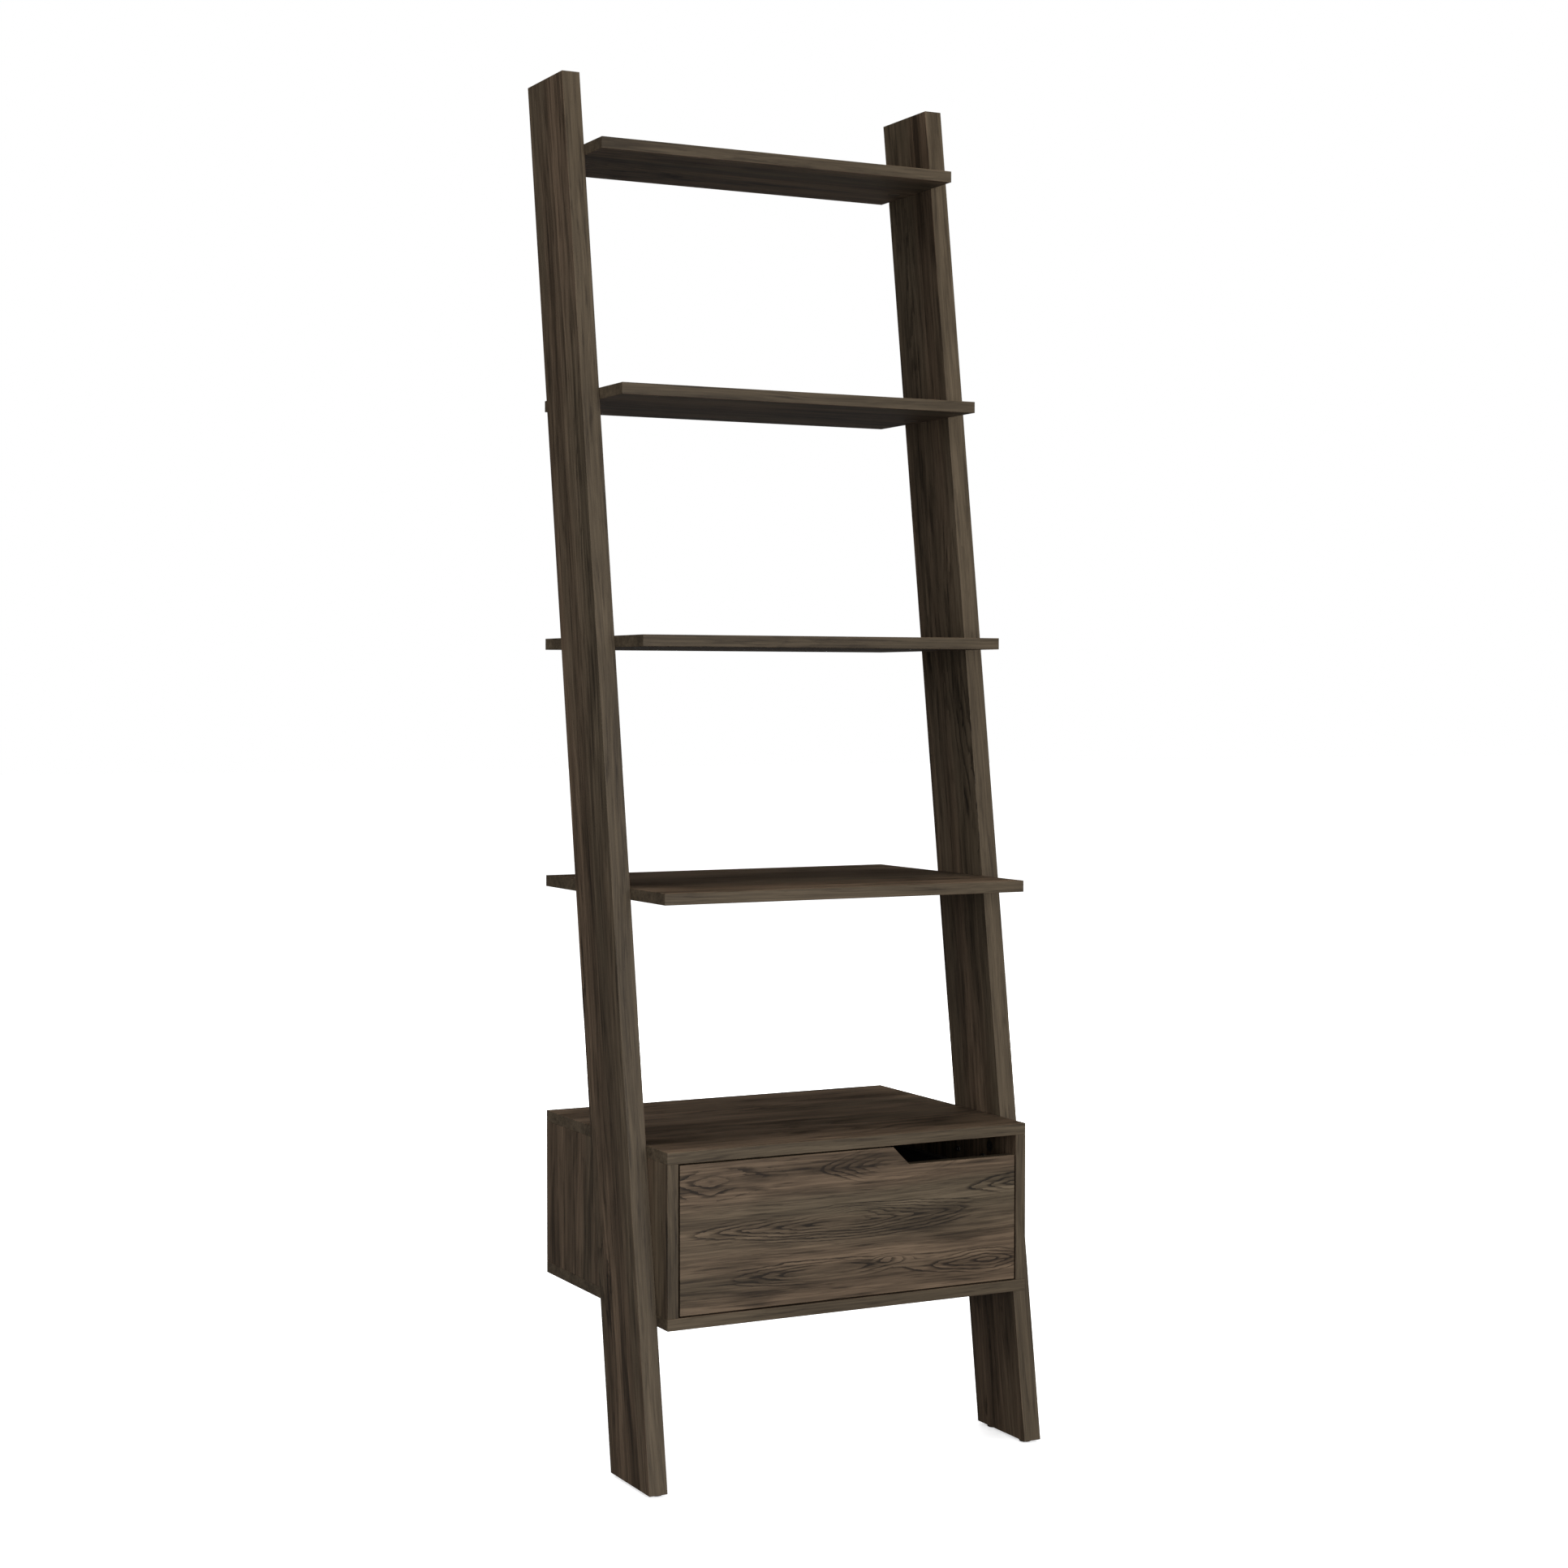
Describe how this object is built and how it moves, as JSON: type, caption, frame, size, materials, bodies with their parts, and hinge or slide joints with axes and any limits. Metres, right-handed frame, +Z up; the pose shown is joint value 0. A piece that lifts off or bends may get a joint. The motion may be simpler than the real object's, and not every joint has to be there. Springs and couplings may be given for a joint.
{
  "type": "ladder shelf",
  "caption": "Leaning ladder shelf: two slanted rails carry open shelves that grow deeper towards the floor, above a low cabinet with a drawer.",
  "frame": {"origin": "on the floor, at mid-width and mid-depth of the whole shelf", "axes": "+X to the right of someone facing the shelf, +Y towards the wall, +Z up"},
  "size_m": [0.57, 0.392, 1.803],
  "materials": {
    "walnut_laminate": "matt dark walnut laminate",
    "drawer_board": "plain dark brown melamine",
    "hardboard": "printed hardboard",
    "beech": "raw beech",
    "black_zinc": "black zinc plated",
    "zinc": "zinc plated",
    "runner_steel": "brown epoxy coated sheet steel",
    "nylon": "off-white nylon",
    "brown_plastic": "moulded, fine grain",
    "bracket_steel": "brown powder coat"
  },
  "bodies": {
    "frame": {"left_rail": "walnut_laminate", "right_rail": "walnut_laminate", "shelf_1": "walnut_laminate", "shelf_2": "walnut_laminate", "shelf_3": "walnut_laminate", "shelf_4": "walnut_laminate", "cabinet_top": "walnut_laminate", "cabinet_bottom": "walnut_laminate", "cabinet_left_side": "walnut_laminate", "cabinet_right_side": "walnut_laminate", "cabinet_back": "hardboard", "shelf_cam_bolts": "zinc", "shelf_cams": "zinc", "shelf_cam_caps": "brown_plastic", "shelf_dowels": "beech", "cabinet_cam_bolts": "zinc", "cabinet_cams": "black_zinc", "cabinet_dowels": "beech", "cabinet_bottom_screws": "zinc", "cabinet_rail_screws": "black_zinc", "foot_glides": "brown_plastic", "foot_glide_nails": "zinc", "left_wall_bracket": "bracket_steel", "right_wall_bracket": "bracket_steel", "wall_bracket_screws": "zinc", "left_cabinet_runner": "runner_steel", "right_cabinet_runner": "runner_steel", "cabinet_runner_screws": "zinc", "cabinet_roller_rivets": "zinc"},
    "drawer": {"drawer_front": "walnut_laminate", "drawer_left_side": "drawer_board", "drawer_right_side": "drawer_board", "drawer_back": "drawer_board", "drawer_bottom": "hardboard", "drawer_cam_bolts": "zinc", "drawer_cams": "zinc", "drawer_dowels": "beech", "drawer_back_screws": "zinc", "drawer_bottom_screws": "zinc", "left_drawer_runner": "runner_steel", "right_drawer_runner": "runner_steel", "drawer_runner_screws": "zinc", "drawer_roller_rivets": "zinc"},
    "left_cabinet_roller": {"left_cabinet_roller": "nylon"},
    "right_cabinet_roller": {"right_cabinet_roller": "nylon"},
    "left_drawer_roller": {"left_drawer_roller": "nylon"},
    "right_drawer_roller": {"right_drawer_roller": "nylon"}
  },
  "joints": [
    {"name": "drawer_slide", "type": "slide", "parent": "frame", "child": "drawer", "axis": [0, -1, 0], "range_m": [0, 0.26]},
    {"name": "left_cabinet_roller_spin", "type": "hinge", "parent": "frame", "child": "left_cabinet_roller", "pos_m": [-0.2379, -0.163, 0.2505], "axis": [1, 0, 0], "continuous": true},
    {"name": "left_drawer_roller_spin", "type": "hinge", "parent": "drawer", "child": "left_drawer_roller", "pos_m": [-0.2379, 0.156, 0.2498], "axis": [1, 0, 0], "continuous": true},
    {"name": "right_cabinet_roller_spin", "type": "hinge", "parent": "frame", "child": "right_cabinet_roller", "pos_m": [0.2379, -0.163, 0.2505], "axis": [1, 0, 0], "continuous": true},
    {"name": "right_drawer_roller_spin", "type": "hinge", "parent": "drawer", "child": "right_drawer_roller", "pos_m": [0.2379, 0.156, 0.2498], "axis": [1, 0, 0], "continuous": true}
  ],
  "couplings": [
    {"joint": "left_cabinet_roller_spin", "follows": "drawer_slide", "rad_per_m": 111.11},
    {"joint": "left_drawer_roller_spin", "follows": "drawer_slide", "rad_per_m": 111.11},
    {"joint": "right_cabinet_roller_spin", "follows": "drawer_slide", "rad_per_m": 111.11},
    {"joint": "right_drawer_roller_spin", "follows": "drawer_slide", "rad_per_m": 111.11}
  ]
}
